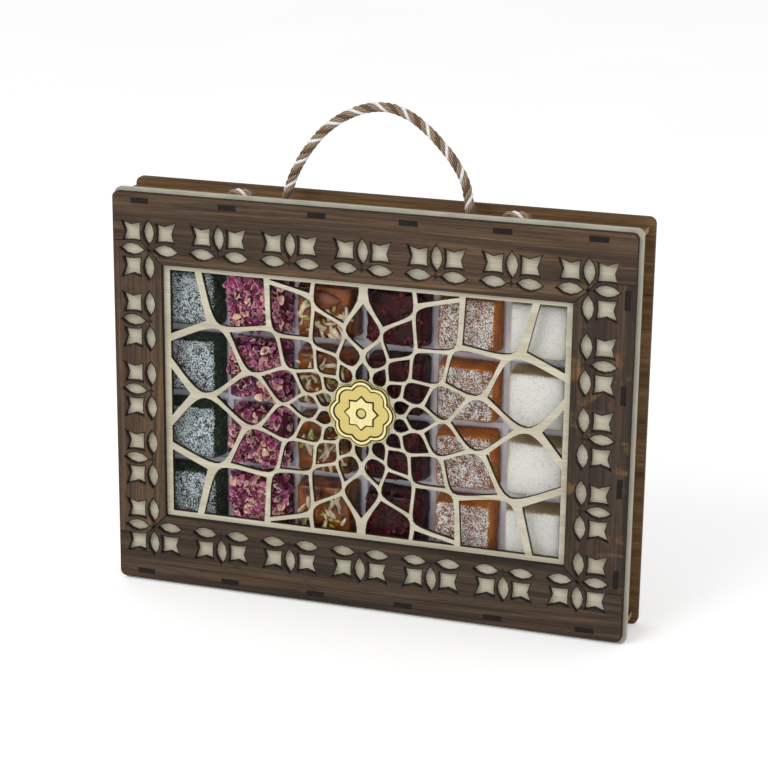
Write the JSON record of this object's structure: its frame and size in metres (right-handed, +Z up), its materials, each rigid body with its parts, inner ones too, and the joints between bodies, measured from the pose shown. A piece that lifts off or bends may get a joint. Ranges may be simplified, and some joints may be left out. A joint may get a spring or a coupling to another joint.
{
  "type": "sweet box",
  "caption": "Wooden gift box with an openwork window on the front, a drawer of sweets that slides out of one end, and a rope handle laced through the top.",
  "frame": {"origin": "Middle of the box's underside, where its two panels stand on the table. The rope handle is left out of the middle.", "axes": "+X to the viewer's right, -Y out of the front with the window, +Z up. The drawer slides out along -X."},
  "size_m": [0.302, 0.036, 0.2886],
  "materials": {
    "walnut": "matte, walnut brown",
    "walnut_back": "matte, walnut brown",
    "pale_wood": "matte, pale birch",
    "gilt": "satin gilt",
    "clear_sheet": "clear",
    "clear_tray": "translucent",
    "rope": "twisted cord",
    "sweet_green": "sugared",
    "sweet_magenta": "petals",
    "sweet_amber": "glazed",
    "sweet_maroon": "glazed",
    "sweet_orange": "sugared",
    "sweet_white": "sugared"
  },
  "bodies": {
    "sleeve": {"overlay_top": "walnut", "overlay_bottom": "walnut", "overlay_left": "walnut", "overlay_right": "walnut", "lattice_panel": "pale_wood", "medallion": "gilt", "window_sheet": "clear_sheet", "top_wall": "pale_wood", "bottom_wall": "pale_wood", "right_wall": "pale_wood", "back_panel": "walnut_back", "rope_lacing": "rope"},
    "handle": {"handle_rope": "rope"},
    "drawer": {"drawer_end": "pale_wood", "drawer_far_end": "pale_wood", "drawer_wall_top": "pale_wood", "drawer_wall_bottom": "pale_wood", "drawer_base": "pale_wood", "sweet_tray": "clear_tray", "sweets_green": "sweet_green", "sweets_magenta": "sweet_magenta", "sweets_amber": "sweet_amber", "sweets_maroon": "sweet_maroon", "sweets_orange": "sweet_orange", "sweets_white": "sweet_white"}
  },
  "joints": [
    {"name": "drawer_slide", "type": "slide", "parent": "sleeve", "child": "drawer", "axis": [-1, 0, 0], "range_m": [0, 0.24]},
    {"name": "handle_swing", "type": "hinge", "parent": "sleeve", "child": "handle", "pos_m": [-0.0013, 0.0015, 0.232], "axis": [1, 0, 0], "range_deg": [-65, 65], "stiffness_Nm_per_rad": 0.02}
  ]
}
